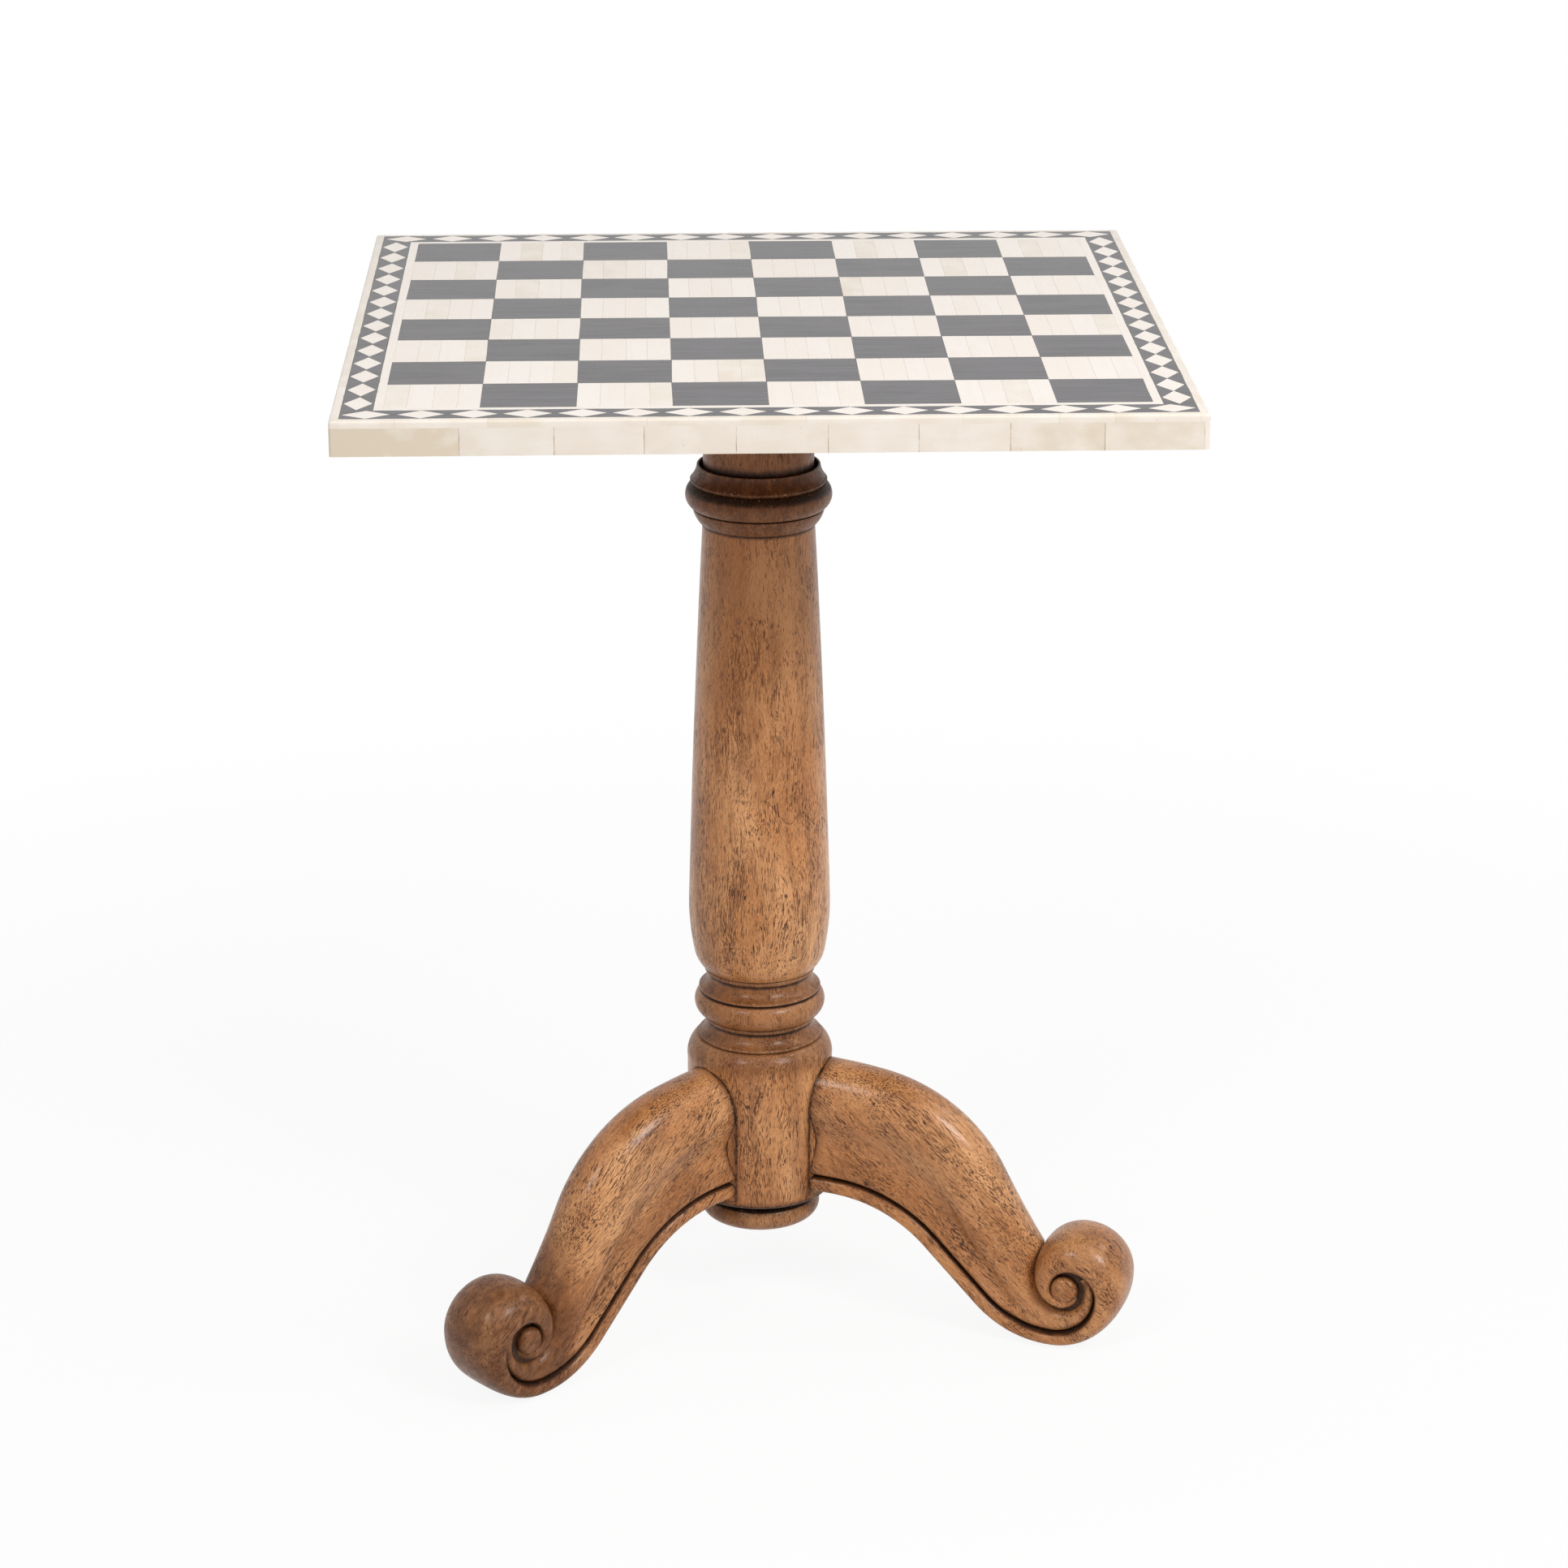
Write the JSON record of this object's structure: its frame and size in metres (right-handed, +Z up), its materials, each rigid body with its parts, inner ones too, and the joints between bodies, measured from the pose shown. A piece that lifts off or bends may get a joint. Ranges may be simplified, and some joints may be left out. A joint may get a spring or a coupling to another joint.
{
  "type": "chess table",
  "caption": "Square chess table with an inlaid bone and dark resin board and lozenge border on a turned wooden column with scroll-footed tripod legs.",
  "frame": {"origin": "On the floor under the axis of the column.", "axes": "+Z up; +X to the right along the front edge of the top; the front of the table faces -Y."},
  "size_m": [0.4572, 0.4617, 0.61],
  "materials": {
    "bone": "satin",
    "dark_resin": "satin",
    "brown_wood": "satin",
    "core_board": "raw",
    "dowel_wood": "raw",
    "steel": "zinc plated"
  },
  "bodies": {
    "root": {"top_core": "core_board", "rank_1_dark_squares": "dark_resin", "rank_1_light_slips": "bone", "rank_2_dark_squares": "dark_resin", "rank_2_light_slips": "bone", "rank_3_dark_squares": "dark_resin", "rank_3_light_slips": "bone", "rank_4_dark_squares": "dark_resin", "rank_4_light_slips": "bone", "rank_5_dark_squares": "dark_resin", "rank_5_light_slips": "bone", "rank_6_dark_squares": "dark_resin", "rank_6_light_slips": "bone", "rank_7_dark_squares": "dark_resin", "rank_7_light_slips": "bone", "rank_8_dark_squares": "dark_resin", "rank_8_light_slips": "bone", "inner_border_front": "bone", "diamond_band_front": "dark_resin", "band_lozenges_front": "bone", "outer_border_front": "bone", "edge_tiles_front": "bone", "inner_border_back": "bone", "diamond_band_back": "dark_resin", "band_lozenges_back": "bone", "outer_border_back": "bone", "edge_tiles_back": "bone", "inner_border_left": "bone", "diamond_band_left": "dark_resin", "band_lozenges_left": "bone", "outer_border_left": "bone", "edge_tiles_left": "bone", "inner_border_right": "bone", "diamond_band_right": "dark_resin", "band_lozenges_right": "bone", "outer_border_right": "bone", "edge_tiles_right": "bone", "mounting_block": "core_board", "block_screws": "steel", "tie_rod": "steel", "rod_nut": "steel", "rod_washer": "steel", "tee_nut": "steel", "column_neck": "brown_wood", "capital_collar": "brown_wood", "column_shaft": "brown_wood", "leg_hub": "brown_wood", "base_cap": "brown_wood", "leg_back": "brown_wood", "dowels_back": "dowel_wood", "leg_front_left": "brown_wood", "dowels_front_left": "dowel_wood", "leg_front_right": "brown_wood", "dowels_front_right": "dowel_wood"}
  },
  "joints": []
}
